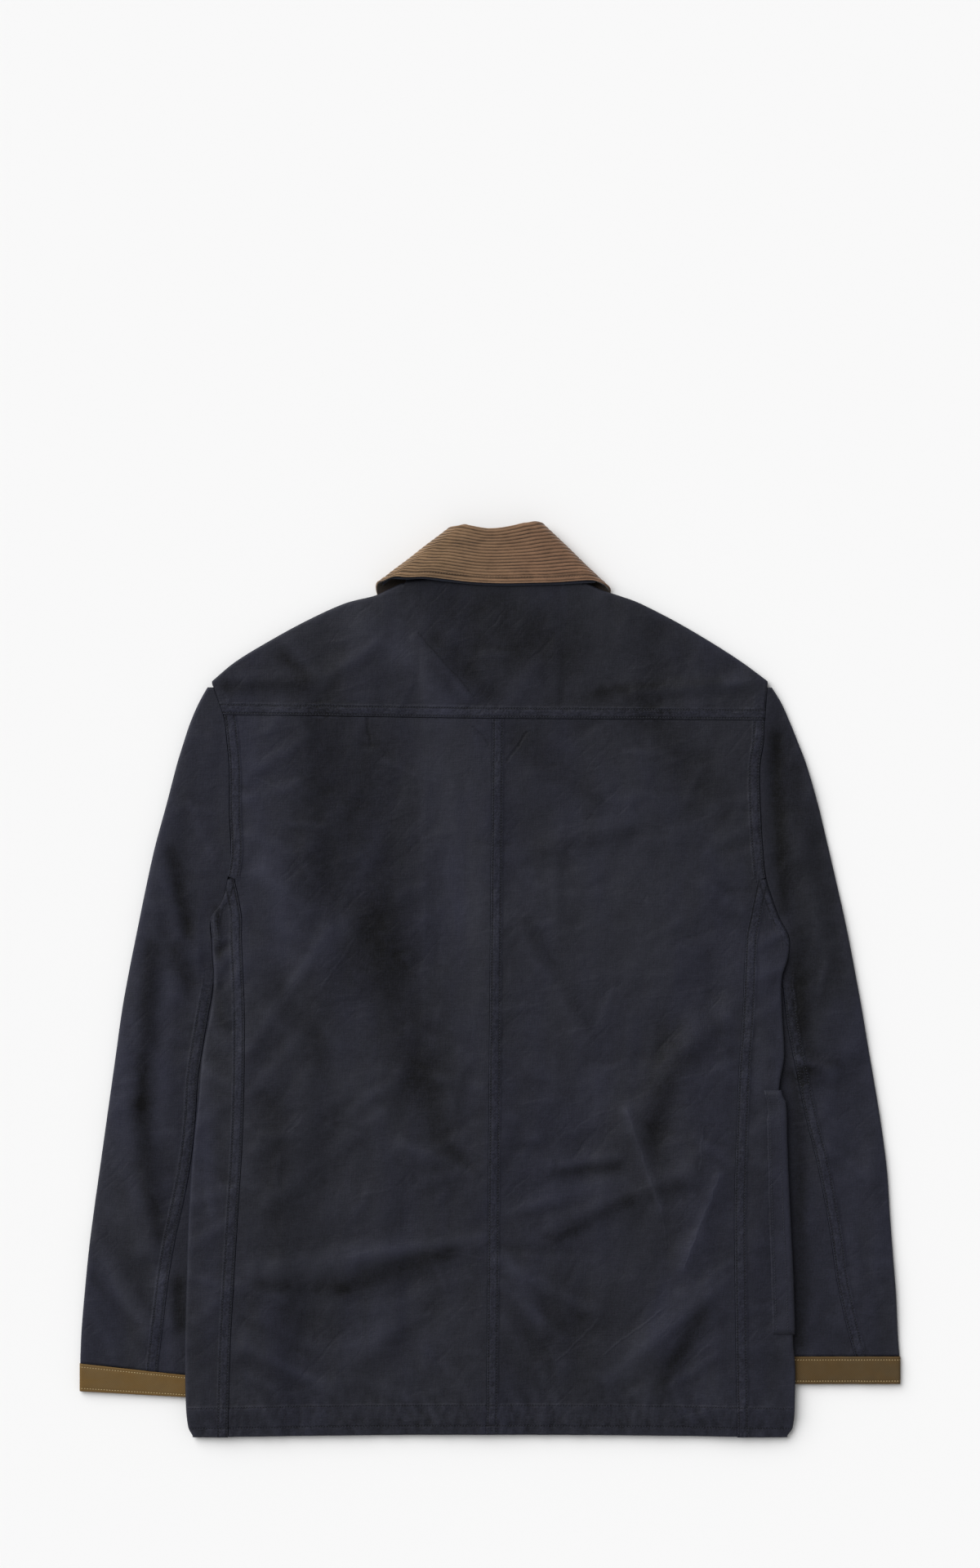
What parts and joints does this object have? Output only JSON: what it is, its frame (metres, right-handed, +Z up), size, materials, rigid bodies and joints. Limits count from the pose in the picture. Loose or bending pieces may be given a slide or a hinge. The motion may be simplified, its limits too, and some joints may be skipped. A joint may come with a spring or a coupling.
{
  "type": "waxed cotton jacket",
  "caption": "Waxed cotton work jacket with a corduroy collar, laid flat on its front, back up and sleeves straight at its sides.",
  "frame": {"origin": "centre of the jacket's outline, on the surface it lies on", "axes": "+Z up out of the surface, towards the jacket's back; +Y from the hem to the collar; -X to the wearer's left sleeve"},
  "size_m": [0.7232, 0.8065, 0.0166],
  "materials": {
    "waxed_cotton": "dry waxed plain weave, dull sheen",
    "navy_cotton": "plain navy cotton",
    "olive_cotton": "olive-brown cotton twill",
    "brown_corduroy": "brown 8-wale corduroy"
  },
  "bodies": {
    "root": {"yoke": "waxed_cotton", "back_left": "waxed_cotton", "back_right": "waxed_cotton", "side_left": "waxed_cotton", "side_right": "waxed_cotton", "front_left": "waxed_cotton", "front_right": "waxed_cotton", "sleeve_top_left": "waxed_cotton", "sleeve_top_right": "waxed_cotton", "sleeve_under_left": "waxed_cotton", "sleeve_under_right": "waxed_cotton", "pocket_left": "waxed_cotton", "pocket_right": "waxed_cotton", "cuff_left": "olive_cotton", "cuff_right": "olive_cotton", "collar": "brown_corduroy", "under_collar": "navy_cotton", "collar_stand": "navy_cotton"}
  },
  "joints": []
}
